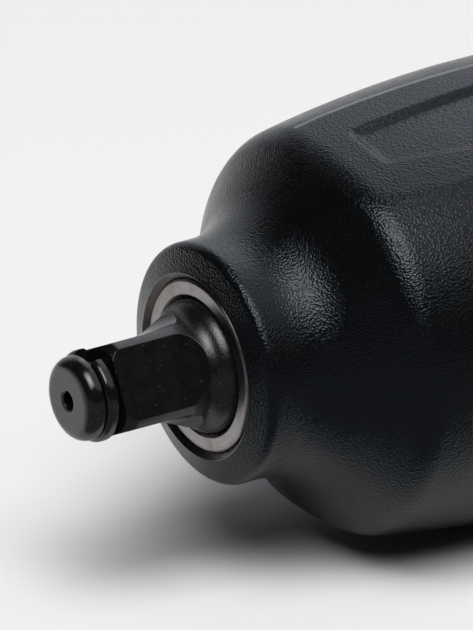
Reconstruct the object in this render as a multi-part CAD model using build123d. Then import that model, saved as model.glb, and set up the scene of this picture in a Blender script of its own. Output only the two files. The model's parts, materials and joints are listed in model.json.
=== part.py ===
from build123d import *
import math
import os

# An air impact wrench with a half-inch square drive, lying on its right side.
# X runs along the drive axis towards the anvil's tip, and is zero on the hammer case's nose face.
# While it is modelled, Y runs down the handle and Z is the tool's left side. All sizes are in millimetres.

# Square drive and anvil
SQUARE = 12.7
CORNER_R = 8.25
TIP_X = 21.75
PILOT_R = 6.2
PILOT_LENGTH = 2.45
TIP_ROUND = 2.0
TIP_HOLE_R = 1.35
TIP_HOLE_DEPTH = 4.0
RING_GROOVE_WIDTH = 2.8
RING_GROOVE_R = 3.6
RING_WIDTH = 2.1
RING_THICK = 1.8
RING_EDGE = 0.75
RING_OUTER = 6.75
RING_GAP_HALF = 20
SQUARE_LEAD_R = 2.0
SQUARE_LEAD_ANGLE = 55
FLAT_END_X = 5.8
RUNOUT_R = 4.0
SHOULDER_X = 3.0
SHOULDER_R = 3.0
JOURNAL_R = 9.9
FLAT_TURN = 31.7
FIT = 0.05
GAP = 0.3

# Hammer case
NOSE_R = 17.8
NOSE_EDGE = 1.5
NOSE_SLOPE = 20
NOSE_LENGTH = 5.1
NECK_R = 12.0
CONE_ANGLE = 52
CONE_LENGTH = 7.0
SHOULDER_ROUND = 6.2
TAPER_ANGLE = 9.4
TAPER_END = -52.0
CASE_R = 33.0
CASE_LENGTH = 86.0
CASE_WALL = 6.0
MOUTH_CHAMFER = 1.0
FLANGE_LENGTH = 20.0
BUSHING_R = 12.7
BUSHING_FRONT = -0.4
BUSHING_CHAMFER = 0.6
BUSHING_ROUND = 0.5
CAVITY_FRONT = -27.0
CAVITY_CHAMFER = 2.0

# Side facets of the hammer case: they follow the taper, flatter round the case, and turn towards the handle
FACET_BULGE = 40.0
FACET_SINK = 1.42
FACET_ANGLE = 85.8
FACET_SKEW = 4.4
FACET_START = -22.0
FACET_NOSE_R = 9.5
FACET_NOSE_TURN = 35
FACET_LEAD = 30.0
FACET_FRONT = -13.0
PANEL_DEPTH = 0.9
PANEL_FRONT = -27.2
PANEL_BACK = -60.0
PANEL_FAR_EDGE = -2.5
PANEL_EDGE_FRONT = 6.3
PANEL_EDGE_BACK = 14.8

# Impact mechanism
FRAME_CLEARANCE = 0.6
COLLAR_R = 12.4
CORE_R = 8.0
JAW_R = 11.6
JAW_HALF = 22
DOG_R = 10.0
DOG_HALF = 16
JAW_LEAD = 9
HAMMER_BORE = 14.5
HAMMER_R = 23.0
HAMMER_HALF_WIDTH = 19.0
HAMMER_LENGTH = 17.0
HAMMER_PIN_R = 4.0
HAMMER_SLOT_HALF = 7.7
PIN_CIRCLE = 21.0
PLATE_THICK = 6.0
WEB_INSIDE = 22.2
WEB_HALF = 12.0
REAR_PILOT_R = 5.5
PILOT_DEPTH = 5.5

# Motor
GASKET = 0.8
STACK_R = 27.0
END_PLATE = 12.0
END_PLATE_WALL = 3.0
CYLINDER_LENGTH = 42.0
CYLINDER_BORE = 22.2
ROTOR_R = 20.0
ROTOR_END_GAP = 0.05
ECCENTRIC = 2.1
DOWEL_R = 1.5
DOWEL_CIRCLE = 25.0
DOWEL_ANGLE = 20
PORT_ANGLES = (90, 254, 270, 286)
PORT_HALF = 4
PORT_MARGIN = 8.0
VANE_COUNT = 6
VANE_THICK = 2.2
VANE_BOTTOM = 10.8
VANE_SINK = 0.15
SLOT_PLAY = 0.1
SPLINE_COUNT = 8
SPLINE_ROOT = 6.3
SPLINE_TIP = 7.2
SPLINE_HALF = 9

# Bearings: bore radius, outer radius, width, ball radius
FRONT_BEARING = (7.5, 16.0, 9.0, 2.4)
REAR_BEARING = (6.0, 14.0, 8.0, 2.1)
BALL_COUNT = 8
RACE_THICK = 2.1
BALL_PLAY = 0.1
CAGE_HALF_THICK = 0.9
CAGE_RIM = 0.6

# Bolts, screws and their ears
DIAGONALS = (45, 135, 225, 315)
EAR_CIRCLE = 34.5
EAR_R = 6.0
EAR_LENGTH = 12.0
CHANNEL_FRONT = -40.0
BOLT_R = 2.5
BOLT_HEAD_R = 4.25
BOLT_HEAD = 5.0
BOLT_KEY = 4.0
WASHER = 1.0
INSERT_WALL = 1.1
INSERT_LENGTH = 10.0
THREAD_PAST = 1.0
SOCKET_SHARE = 0.6
SCREW_KEY = 3.0
SLOT_WIDTH = 0.8
SLOT_DEPTH = 0.9
POCKET_PLAY = 0.95
REAR_EAR_CIRCLE = 31.0
REAR_EAR_R = 5.5
SCREW_R = 2.0
SCREW_HEAD_R = 3.5
SCREW_HEAD = 2.6
HOLE_PLAY = 0.3

# Motor housing and rear cover
HOUSING_LENGTH = 75.2
HOUSING_WAIST_R = 31.2
HOUSING_FLANGE = 13.0
HOUSING_SLOPE = 5.0
COVER_EAR_LENGTH = 7.2
COVER_ROUND = 10.0
COVER_WALL = 4.5
SPIGOT_INNER = 20.0

# Direction selector
VALVE_Y = 36.5
VALVE_R = 5.95
VALVE_LENGTH = 15.5
VALVE_BUSHING_R = 8.0
STEM_TURN_R = 3.0
LOBE_R = 13.0
LOBE_LENGTH = 50.0
KNOB_R = 11.0
KNOB_LENGTH = 9.2
KNOB_GRIPS = 6
KNOB_GRIP_R = 2.6
KNOB_GRIP_CIRCLE = 12.0
KNOB_EDGE = 1.2
KNOB_RIM = 2.0
KNOB_SCREW_SINK = 0.8
KNOB_SCREW_HEAD = 2.2
VALVE_LAND = 4.0
DETENT_R = 1.5
DETENT_CIRCLE = 7.0
DETENT_SINK = 0.6
DETENT_HOLE = 5.2

# Handle, measured along its own raked axis: p forward, q down the handle.
# Each section is q, the middle's p, the depth, the width and the corner radius.
HANDLE_SETBACK = 38.0
RAKE = 6.0
BASE_Q = 152.0
DEFLECTOR = 8.0
DEFLECTOR_EDGE = 2.0
BASE_DEPTH = 50.0
BASE_WIDTH = 40.0
BASE_CORNER = 14.0
HANDLE_SECTIONS = (
    (14, 0, 58, 50, 20),
    (34, 1, 52, 41, 17),
    (60, -1, 43, 36, 15),
    (95, -1, 41, 36, 15),
    (130, -1, 44, 38, 15),
    (BASE_Q, 0, BASE_DEPTH, BASE_WIDTH, BASE_CORNER),
)
GRIP_FROM = 70.0
GRIP_TO = 142.0
GRIP_THICK = 2.0

# Air passages in the handle
CHAMBER_P = -9.0
CHAMBER_R = 8.5
CHAMBER_TOP = 36.0
CHAMBER_STEP = 92.0
PASSAGE_R = 5.0
EXHAUST_FRONT = 13.0
EXHAUST_BACK = 3.0
EXHAUST_HALF = 11.0
EXHAUST_TOP = 66.0
SIDE_DUCT = 3.4
SIDE_DUCT_FRONT = 10.0
SIDE_DUCT_TOP = 20.0
MUFFLER_LENGTH = 17.0
VENT_COUNT = 4
VENT_WIDTH = 1.5
BASE_SCREW_P = 19.5
BASE_SCREW_R = 1.5
BASE_SCREW_DEPTH = 8.0
BASE_SCREW_HEAD_R = 2.6
BASE_SCREW_HEAD = 2.0
BASE_SCREW_SEAT = 2.6

# Trigger and throttle
TRIGGER_TOP = 36.4
TRIGGER_BOTTOM = 63.6
TRIGGER_HALF = 8.0
TRIGGER_BACK = 13.0
TRIGGER_FRONT_TOP = 33.0
TRIGGER_FRONT_BOTTOM = 36.0
TRIGGER_HOLLOW = 2.0
TRIGGER_ROUND = 2.5
ROD_Q = 43.0
ROD_R = 2.5
ROD_BUSH_R = 4.5
POCKET_BACK = 3.0
SEAT_TOP = 64.0
SEAT_BOTTOM = 69.0
SEAT_HOLE = 5.5
DISC_R = 7.0
DISC_THICK = 3.0
THROTTLE_STEM_R = 1.8
THROTTLE_STEM_TOP = 40.0

# Air inlet, a quarter-inch pipe thread
INLET_R = 5.65
INLET_THREAD = 16.0
THREAD_RELIEF = 2.0
RELIEF_R = 6.0
INLET_HEX = 24.0
INLET_CORNER_R = 13.2
INLET_COLLAR = 7.0
INLET_SHANK_R = 9.2
INLET_TOP = 141.0
INLET_THROAT = 4.2
O_RING_R = 0.8
SCREEN_THICK = 0.8
SCREEN_RINGS = 3
SCREEN_PITCH = 1.5
SCREEN_HOLE_R = 0.4

# Springs: mean coil radius, wire radius, number of turns
TRIGGER_SPRING = (3.9, 0.4, 4)
THROTTLE_SPRING = (4.6, 0.5, 6)
DETENT_SPRING = (1.0, 0.2, 5)

# Places along the drive axis, worked out from the sizes above
RING_BACK = TIP_X - PILOT_LENGTH
SQUARE_FRONT = RING_BACK - RING_GROOVE_WIDTH
RING_X = RING_BACK - RING_WIDTH / 2 - GAP
CASE_BACK = -CASE_LENGTH
FLANGE_X = CASE_BACK + FLANGE_LENGTH
BOLT_SEAT = CASE_BACK + EAR_LENGTH
CAVITY_R = CASE_R - CASE_WALL
COLLAR_FRONT = CAVITY_FRONT - GAP
PLATE_FRONT = CAVITY_FRONT - CAVITY_CHAMFER
FRONT_HAMMER_X = PLATE_FRONT - PLATE_THICK - 2 * GAP
REAR_HAMMER_X = FRONT_HAMMER_X - HAMMER_LENGTH - 2 * GAP
REAR_PLATE_X = REAR_HAMMER_X - HAMMER_LENGTH - 2 * GAP
FRAME_BACK = CASE_BACK + 3 * GAP
FRAME_R = CAVITY_R - FRAME_CLEARANCE
SPLINE_X = REAR_PLATE_X - PILOT_DEPTH
HOUSING_FRONT = CASE_BACK - GASKET
HOUSING_BACK = HOUSING_FRONT - HOUSING_LENGTH
HANDLE_X = CASE_BACK - HANDLE_SETBACK
LOBE_FRONT = HOUSING_BACK + LOBE_LENGTH
VALVE_FRONT = HOUSING_BACK + VALVE_LENGTH
CYLINDER_FRONT = HOUSING_FRONT - END_PLATE
CYLINDER_BACK = CYLINDER_FRONT - CYLINDER_LENGTH
STACK_BACK = CYLINDER_BACK - END_PLATE
COVER_FRONT = HOUSING_BACK - GASKET
COVER_SEAT = COVER_FRONT - COVER_EAR_LENGTH
COVER_BACK = COVER_SEAT - COVER_ROUND
KNOB_FRONT = COVER_SEAT - 2 * GAP
KNOB_BACK = KNOB_FRONT - KNOB_LENGTH
STEM_BACK = KNOB_BACK + KNOB_SCREW_SINK + KNOB_SCREW_HEAD
DETENT_X = COVER_SEAT + DETENT_SINK
DETENT_HOLE_END = COVER_SEAT + DETENT_HOLE
BOLT_END = HOUSING_FRONT - INSERT_LENGTH - THREAD_PAST
SCREW_END = HOUSING_BACK + INSERT_LENGTH + THREAD_PAST
JAW_MIDDLE = 90 + DOG_HALF + JAW_LEAD + JAW_HALF

# Places on the handle
DECK_Q = BASE_Q + DEFLECTOR
BASE_SCREW_TIP = BASE_Q - BASE_SCREW_DEPTH
INLET_END = DECK_Q + INLET_COLLAR
DISC_Q = SEAT_BOTTOM + GAP
ROD_TIP = CHAMBER_P + THROTTLE_STEM_R + GAP
HANDLE = Location((HANDLE_X, 0, 0), (0, 0, RAKE))

# The tool lies rolled over until the foot of its handle meets the floor that its round body rests on.
FOOT_Y = (
    (DECK_Q - DEFLECTOR_EDGE) * math.cos(math.radians(RAKE))
    + (BASE_DEPTH / 2 - BASE_CORNER) * math.sin(math.radians(RAKE))
)
FOOT_Z = BASE_WIDTH / 2
ROLL = math.degrees(math.asin(CASE_R / math.hypot(FOOT_Y, FOOT_Z)) - math.atan2(FOOT_Z, FOOT_Y))


# Shape helpers


def rod(x_from, x_to, radius, y=0, z=0):
    """A round bar along X."""
    return Pos((x_from + x_to) / 2, y, z) * Rot(0, 90, 0) * Cylinder(radius, abs(x_to - x_from))


def tube(x_from, x_to, outer, inner, y=0, z=0):
    """A plain sleeve along X."""
    return rod(x_from, x_to, outer, y, z) - rod(x_from, x_to, inner, y, z)


def turned(*edges):
    """A solid turned about X from joined edges that close on the axis."""
    return revolve(make_face(edges), Axis.X)


def turned_corners(*points):
    """A solid turned about X from corners given as x and radius."""
    return turned(Polyline(*points, close=True))


def o_ring(x, radius, wire, y=0):
    """A rubber ring about X."""
    return Pos(x, y, 0) * Rot(0, 90, 0) * Torus(radius, wire)


def along_x(face, x_from, x_to):
    """A flat outline drawn in Y and Z, carried along X."""
    return extrude(Plane.YZ.offset(min(x_from, x_to)) * face, amount=abs(x_to - x_from))


def polar(radius, angle):
    """A point in Y and Z, at an angle from the handle's side towards the tool's left."""
    return (radius * math.cos(math.radians(angle)), radius * math.sin(math.radians(angle)))


def sector(inner, outer, middle, half):
    """A ring sector in Y and Z."""
    low = middle - half
    high = middle + half
    return make_face([
        Line(polar(inner, low), polar(outer, low)),
        ThreePointArc(polar(outer, low), polar(outer, middle), polar(outer, high)),
        Line(polar(outer, high), polar(inner, high)),
        ThreePointArc(polar(inner, high), polar(inner, middle), polar(inner, low)),
    ])


def diagonal_rods(x_from, x_to, radius, circle):
    """Four bars along X on the diagonals."""
    places = [polar(circle, angle) for angle in DIAGONALS]
    return [rod(x_from, x_to, radius, y, z) for y, z in places]


def post(q_from, q_to, radius, p=0, z=0):
    """A round bar down the handle, in the handle's own frame."""
    return Pos(p, (q_from + q_to) / 2, z) * Rot(90, 0, 0) * Cylinder(radius, abs(q_to - q_from))


def block(p_from, p_to, q_from, q_to, z_from, z_to):
    """A block with its corners given."""
    middle = Pos((p_from + p_to) / 2, (q_from + q_to) / 2, (z_from + z_to) / 2)
    return middle * Box(p_to - p_from, q_to - q_from, z_to - z_from)


def handle_plane(q, p=0):
    """The plane across the handle at q, with its normal down the handle."""
    return Plane(origin=(p, q, 0), x_dir=(1, 0, 0), z_dir=(0, 1, 0))


def handle_bar(inset):
    """The handle's swelling bar, drawn in all round by an inset."""
    faces = []
    for q, p, depth, width, corner in HANDLE_SECTIONS:
        outline = RectangleRounded(depth - 2 * inset, width - 2 * inset, corner - inset)
        faces.append(handle_plane(q, p) * outline)
    return loft(faces)


def coil(spring, length):
    """A spring that stands on the origin along Z, one unbroken wire."""
    radius, wire, turns = spring
    rise = length - 2 * wire
    path = Helix(pitch=rise / turns, height=rise, radius=radius)
    section = Plane(origin=path @ 0, z_dir=path % 0) * Circle(wire)
    return Pos(0, 0, wire) * sweep(section, path=path)


# Anvil and its ring


def anvil_blank():
    """The turned anvil before its flats are cut."""
    rise_angle = math.degrees(math.acos(1 - (JOURNAL_R - CORNER_R) / (2 * SHOULDER_R)))
    lead = math.radians(SQUARE_LEAD_ANGLE)
    face = Line((TIP_X, 0), (TIP_X, PILOT_R - TIP_ROUND))
    edge = JernArc(face @ 1, (0, 1), TIP_ROUND, 90)
    front = Polyline(
        edge @ 1,
        (RING_BACK, PILOT_R),
        (RING_BACK, RING_GROOVE_R),
        (SQUARE_FRONT, RING_GROOVE_R),
        (SQUARE_FRONT, CORNER_R - SQUARE_LEAD_R * (1 - math.cos(lead))),
    )
    lead_in = JernArc(front @ 1, (-math.cos(lead), math.sin(lead)), SQUARE_LEAD_R, SQUARE_LEAD_ANGLE)
    corner = Line(lead_in @ 1, (SHOULDER_X, CORNER_R))
    rise = JernArc(corner @ 1, (-1, 0), SHOULDER_R, -rise_angle)
    crest = JernArc(rise @ 1, rise % 1, SHOULDER_R, rise_angle)
    back = Polyline(
        crest @ 1,
        (COLLAR_FRONT, JOURNAL_R),
        (COLLAR_FRONT, COLLAR_R),
        (FRONT_HAMMER_X + GAP, COLLAR_R),
        (FRONT_HAMMER_X + GAP, CORE_R),
        (REAR_PLATE_X + GAP, CORE_R),
        (REAR_PLATE_X + GAP, REAR_PILOT_R),
        (SPLINE_X + GAP, REAR_PILOT_R),
        (SPLINE_X + GAP, 0),
        (TIP_X, 0),
    )
    return turned(face, edge, front, lead_in, corner, rise, crest, back)


def flat_cutter():
    """What is milled off one side of the square, with the cutter's round run-out behind it."""
    top = COLLAR_R
    start = SQUARE_FRONT + GAP
    floor = Line((start, SQUARE / 2), (FLAT_END_X, SQUARE / 2))
    runout = JernArc(floor @ 1, (-1, 0), RUNOUT_R, -90)
    rest = Polyline(runout @ 1, (FLAT_END_X - RUNOUT_R, top), (start, top), (start, SQUARE / 2))
    return extrude(make_face([floor, runout, rest]), amount=top, both=True)


def make_anvil():
    body = anvil_blank()
    for turn in range(4):
        body -= Rot(FLAT_TURN + 90 * turn, 0, 0) * flat_cutter()
    hole_end = TIP_X - TIP_HOLE_DEPTH
    body -= turned_corners(
        (TIP_X, 0),
        (TIP_X, TIP_HOLE_R + GAP),
        (TIP_X - GAP, TIP_HOLE_R),
        (hole_end, TIP_HOLE_R),
        (hole_end - TIP_HOLE_R / 2, 0),
    )
    for start, middle in ((FRONT_HAMMER_X, JAW_MIDDLE), (REAR_HAMMER_X, JAW_MIDDLE + 180)):
        jaw = sector(CORE_R - 1, JAW_R, middle, JAW_HALF)
        body += along_x(jaw, start - GAP, start - HAMMER_LENGTH + GAP)
    return body


def make_friction_ring():
    """A split ring of rounded section, with its gap facing up as the tool lies."""
    outline = RectangleRounded(RING_WIDTH, RING_THICK, RING_EDGE)
    section = Pos(RING_X, RING_OUTER - RING_THICK / 2) * outline
    gap = sector(RING_GROOVE_R, 2 * RING_OUTER, 90 + ROLL, RING_GAP_HALF)
    return revolve(section, Axis.X) - along_x(gap, RING_BACK, SQUARE_FRONT)


def make_ring_backing():
    wire = (RING_OUTER - RING_THICK - RING_GROOVE_R) / 2
    return o_ring(RING_X, RING_GROOVE_R + wire, wire)


# Hammer case and what holds it


def case_curves():
    """The hammer case's outside, from the axis to its taper. The nose face falls back to a rounded edge."""
    slope = math.radians(NOSE_SLOPE)
    face = Line((0, 0), (0, BUSHING_R + MOUTH_CHAMFER))
    fall_height = NOSE_R - NOSE_EDGE * (1 - math.sin(slope)) - BUSHING_R - MOUTH_CHAMFER
    fall = PolarLine(face @ 1, fall_height / math.cos(slope), direction=(-math.sin(slope), math.cos(slope)))
    edge = JernArc(fall @ 1, fall % 1, NOSE_EDGE, 90 - NOSE_SLOPE)
    nose = Line(edge @ 1, (-NOSE_LENGTH, NOSE_R))
    neck = JernArc(nose @ 1, (-1, 0), NECK_R, -CONE_ANGLE)
    cone = PolarLine(neck @ 1, CONE_LENGTH, direction=neck % 1)
    shoulder = JernArc(cone @ 1, cone % 1, SHOULDER_ROUND, CONE_ANGLE - TAPER_ANGLE)
    taper = TangentArc(shoulder @ 1, (TAPER_END, CASE_R), tangent=shoulder % 1)
    return face, fall, edge, nose, neck, cone, shoulder, taper


def case_outline():
    """The hammer case's turned outside, solid."""
    curves = case_curves()
    back = Polyline(curves[-1] @ 1, (CASE_BACK, CASE_R), (CASE_BACK, 0), (0, 0))
    return turned(*curves, back)


def facet_round(inset):
    """The barrel whose surface is the left facet, or lies an inset below it.

    It is the case's taper with a rounded nose, raised and turned about an axis that is set off from the
    tool's and skewed."""
    taper = case_curves()[-1]
    nose = JernArc(taper @ 0, taper % 0 * -1, FACET_NOSE_R, -FACET_NOSE_TURN)
    lead = PolarLine(nose @ 1, FACET_LEAD, direction=nose % 1)
    raised = Pos(0, FACET_BULGE - inset)
    back = Line(taper @ 1, (CASE_BACK, CASE_R))
    outline = [raised * curve for curve in (lead, nose, taper, back)]
    front = outline[0] @ 1
    ends = Polyline(outline[-1] @ 1, (CASE_BACK, 0), (front.X, 0), front)
    lean = Vector(0, math.cos(math.radians(FACET_ANGLE)), math.sin(math.radians(FACET_ANGLE)))
    barrel = Pos(lean * -(FACET_BULGE + FACET_SINK)) * turned(*outline, ends)
    return barrel.rotate(Axis((FACET_START, 0, 0), lean), -FACET_SKEW)


def facet_cut():
    """What the left facet and its sunken panel take off the round case."""
    space = block(FLANGE_X, FACET_FRONT, -CASE_R, CASE_R, NOSE_R, 2 * CASE_R)
    outline = Polyline(
        (PANEL_FRONT, PANEL_FAR_EDGE),
        (PANEL_FRONT, PANEL_EDGE_FRONT),
        (PANEL_BACK, PANEL_EDGE_BACK),
        (PANEL_BACK, PANEL_FAR_EDGE),
        close=True,
    )
    panel = extrude(Pos(0, 0, NOSE_R) * make_face(outline), amount=CASE_R)
    return [space - facet_round(0), panel - facet_round(PANEL_DEPTH)]


def make_hammer_case():
    body = case_outline()
    for cut in facet_cut():
        body -= cut
        body -= mirror(cut, about=Plane.XY)
    body += diagonal_rods(CASE_BACK, BOLT_SEAT, EAR_R, EAR_CIRCLE)
    body -= diagonal_rods(BOLT_SEAT, CHANNEL_FRONT, BOLT_HEAD_R + POCKET_PLAY, EAR_CIRCLE)
    body -= diagonal_rods(CASE_BACK, BOLT_SEAT, BOLT_R + HOLE_PLAY, EAR_CIRCLE)
    body -= turned_corners(
        (0, 0),
        (0, BUSHING_R + MOUTH_CHAMFER),
        (-MOUTH_CHAMFER, BUSHING_R),
        (CAVITY_FRONT, BUSHING_R),
        (CAVITY_FRONT, CAVITY_R - CAVITY_CHAMFER),
        (CAVITY_FRONT - CAVITY_CHAMFER, CAVITY_R),
        (CASE_BACK, CAVITY_R),
        (CASE_BACK, 0),
    )
    return body


def make_anvil_bushing():
    bore = JOURNAL_R + FIT
    inside = Polyline(
        (CAVITY_FRONT, BUSHING_R),
        (CAVITY_FRONT, bore),
        (BUSHING_FRONT - BUSHING_CHAMFER, bore),
        (BUSHING_FRONT, bore + BUSHING_CHAMFER),
        (BUSHING_FRONT, BUSHING_R - BUSHING_ROUND),
    )
    edge = JernArc(inside @ 1, (0, 1), BUSHING_ROUND, 90)
    outside = Line(edge @ 1, (CAVITY_FRONT, BUSHING_R))
    return turned(inside, edge, outside)


def flange_plate(x_from, x_to):
    """The flange's outline, a round with four ears, as a plate."""
    plate = rod(x_from, x_to, CASE_R)
    plate += diagonal_rods(x_from, x_to, EAR_R, EAR_CIRCLE)
    return plate


def make_hammer_case_gasket():
    plate = flange_plate(CASE_BACK, HOUSING_FRONT) - rod(CASE_BACK, HOUSING_FRONT, STACK_R)
    plate -= diagonal_rods(CASE_BACK, HOUSING_FRONT, BOLT_R + HOLE_PLAY, EAR_CIRCLE)
    return plate


def cap_screw(seat, end, shank, head_r, head, key, way):
    """A socket head screw on the X axis, with its head on the seat and facing forward (1) or back (-1)."""
    top = seat + way * head
    screw = rod(end, seat, shank) + rod(seat, top, head_r)
    socket = RegularPolygon(key / 2, 6, major_radius=False)
    return screw - along_x(socket, top, top - way * head * SOCKET_SHARE)


def driver_slot(top, into, reach):
    """A screwdriver's slot across a head on the X axis, cut from its top forward (1) or back (-1)."""
    bottom = top + into * SLOT_DEPTH
    return block(min(top, bottom), max(top, bottom), -reach, reach, -SLOT_WIDTH / 2, SLOT_WIDTH / 2)


def make_hammer_case_bolts():
    bolt = cap_screw(BOLT_SEAT + WASHER, BOLT_END, BOLT_R, BOLT_HEAD_R, BOLT_HEAD, BOLT_KEY, 1)
    return [Pos(0, *polar(EAR_CIRCLE, angle)) * bolt for angle in DIAGONALS]


def make_hammer_case_washers():
    washer = tube(BOLT_SEAT, BOLT_SEAT + WASHER, BOLT_HEAD_R, BOLT_R)
    return [Pos(0, *polar(EAR_CIRCLE, angle)) * washer for angle in DIAGONALS]


# Impact mechanism


def make_hammer_frame():
    front = tube(PLATE_FRONT, PLATE_FRONT - PLATE_THICK, FRAME_R, COLLAR_R + 2 * GAP)
    back = rod(REAR_PLATE_X, FRAME_BACK, FRAME_R)
    back -= rod(REAR_PLATE_X, SPLINE_X, REAR_PILOT_R + FIT)
    back -= spline(SPLINE_X, FRAME_BACK)
    webs = rod(PLATE_FRONT - PLATE_THICK, REAR_PLATE_X, FRAME_R)
    webs -= block(CASE_BACK, 0, -FRAME_R, FRAME_R, -WEB_INSIDE, WEB_INSIDE)
    webs -= block(CASE_BACK, 0, WEB_HALF, FRAME_R, -FRAME_R, FRAME_R)
    webs -= block(CASE_BACK, 0, -FRAME_R, -WEB_HALF, -FRAME_R, FRAME_R)
    frame = front + back + webs
    for y in (-PIN_CIRCLE, PIN_CIRCLE):
        frame -= rod(PLATE_FRONT, FRAME_BACK, HAMMER_PIN_R, y)
    return frame


def make_hammer_pins():
    return [rod(PLATE_FRONT, FRAME_BACK, HAMMER_PIN_R, y) for y in (-PIN_CIRCLE, PIN_CIRCLE)]


def make_hammer(front_x, side):
    """A hammer ring that hangs on the pin at one side, with its striking dog a quarter turn away."""
    slot_reach = HAMMER_R - PIN_CIRCLE + HAMMER_PIN_R + GAP
    ring = Circle(HAMMER_R) & Rectangle(2 * HAMMER_R, 2 * HAMMER_HALF_WIDTH)
    ring -= Circle(HAMMER_BORE)
    ring += sector(DOG_R, HAMMER_BORE + 1, 90, DOG_HALF)
    ring -= Pos(PIN_CIRCLE, 0) * Circle(HAMMER_PIN_R + FIT)
    ring -= Pos(slot_reach / 2 - HAMMER_R, 0) * Rectangle(slot_reach, 2 * HAMMER_SLOT_HALF)
    turn = 0 if side > 0 else 180
    return Rot(turn, 0, 0) * along_x(ring, front_x - HAMMER_LENGTH, front_x)


def make_front_hammer():
    return make_hammer(FRONT_HAMMER_X, 1)


def make_rear_hammer():
    return make_hammer(REAR_HAMMER_X, -1)


# Vane motor


def spline(x_from, x_to):
    """The rotor's splined end."""
    face = Circle(SPLINE_ROOT)
    for tooth in range(SPLINE_COUNT):
        face += sector(SPLINE_ROOT - 1, SPLINE_TIP, tooth * 360 / SPLINE_COUNT, SPLINE_HALF)
    return along_x(face, x_from, x_to)


def make_rotor():
    front = CYLINDER_FRONT - ROTOR_END_GAP
    back = CYLINDER_BACK + ROTOR_END_GAP
    body = rod(front, back, ROTOR_R)
    body += rod(front, FRAME_BACK, FRONT_BEARING[0])
    body += spline(FRAME_BACK, SPLINE_X - GAP)
    body += rod(back, STACK_BACK, REAR_BEARING[0])
    half = VANE_THICK / 2 + SLOT_PLAY
    slot = block(back, front, VANE_BOTTOM - SLOT_PLAY, 2 * ROTOR_R, -half, half)
    for vane in range(VANE_COUNT):
        body -= Rot(vane * 360 / VANE_COUNT, 0, 0) * slot
    return body


def make_rotor_vanes():
    front = CYLINDER_FRONT - 2 * ROTOR_END_GAP
    back = CYLINDER_BACK + 2 * ROTOR_END_GAP
    vane = block(back, front, VANE_BOTTOM, ROTOR_R - VANE_SINK, -VANE_THICK / 2, VANE_THICK / 2)
    return [Rot(turn * 360 / VANE_COUNT, 0, 0) * vane for turn in range(VANE_COUNT)]


def make_cylinder():
    body = rod(CYLINDER_FRONT, CYLINDER_BACK, STACK_R)
    body -= rod(CYLINDER_FRONT, CYLINDER_BACK, CYLINDER_BORE, -ECCENTRIC)
    for angle in PORT_ANGLES:
        port = sector(ROTOR_R, STACK_R + 1, angle, PORT_HALF)
        body -= along_x(port, CYLINDER_FRONT - PORT_MARGIN, CYLINDER_BACK + PORT_MARGIN)
    return body - dowel()


def dowel():
    """The pin that lines the end plates up with the cylinder, on the thick side of its wall."""
    y, z = polar(DOWEL_CIRCLE, DOWEL_ANGLE)
    return rod(CYLINDER_FRONT + END_PLATE_WALL, CYLINDER_BACK - END_PLATE_WALL, DOWEL_R, y, z)


def end_plate(face, way, bearing):
    """An end plate whose flat face meets the cylinder and whose bearing pocket opens the other way."""
    plate = rod(face, face + way * END_PLATE, STACK_R)
    plate -= rod(face, face + way * END_PLATE, bearing[0] + 2 * GAP)
    plate -= rod(face + way * END_PLATE_WALL, face + way * END_PLATE, bearing[1])
    return plate - dowel()


def bearing_place(face, way, bearing):
    """The near end, far end and middle of a bearing in an end plate's pocket."""
    near = face + way * END_PLATE_WALL
    far = near + way * (bearing[2] - GAP)
    return near, far, (near + far) / 2


def make_outer_race(face, way, bearing):
    near, far, middle = bearing_place(face, way, bearing)
    bore, outer, _, ball = bearing
    return tube(near, far, outer, outer - RACE_THICK) - o_ring(middle, (bore + outer) / 2, ball + BALL_PLAY)


def make_inner_race(face, way, bearing):
    near, far, middle = bearing_place(face, way, bearing)
    bore, outer, _, ball = bearing
    return tube(near, far, bore + RACE_THICK, bore) - o_ring(middle, (bore + outer) / 2, ball + BALL_PLAY)


def ball_places(face, way, bearing):
    middle = bearing_place(face, way, bearing)[2]
    pitch = (bearing[0] + bearing[1]) / 2
    return [Pos(middle, *polar(pitch, turn * 360 / BALL_COUNT)) for turn in range(BALL_COUNT)]


def make_balls(face, way, bearing):
    return [place * Sphere(bearing[3]) for place in ball_places(face, way, bearing)]


def make_cage(face, way, bearing):
    middle = bearing_place(face, way, bearing)[2]
    pitch = (bearing[0] + bearing[1]) / 2
    half = bearing[3] + CAGE_RIM
    cage = tube(middle - half, middle + half, pitch + CAGE_HALF_THICK, pitch - CAGE_HALF_THICK)
    for place in ball_places(face, way, bearing):
        cage -= place * Sphere(bearing[3] + BALL_PLAY)
    return cage


# Motor housing, its inserts and its grip


def grip_band():
    """The stretch of the handle that the rubber sleeve covers."""
    skin = handle_bar(0) - handle_bar(GRIP_THICK)
    return skin & block(-BASE_DEPTH, BASE_DEPTH, GRIP_FROM, GRIP_TO, -BASE_WIDTH, BASE_WIDTH)


def trigger_pocket():
    half = TRIGGER_HALF + GAP
    pocket = block(POCKET_BACK, BASE_DEPTH, TRIGGER_TOP - GAP, TRIGGER_BOTTOM + GAP, -half, half)
    bush_hole = Pos(0, ROD_Q, 0) * rod(CHAMBER_P, POCKET_BACK, ROD_BUSH_R)
    return [pocket, bush_hole]


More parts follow.
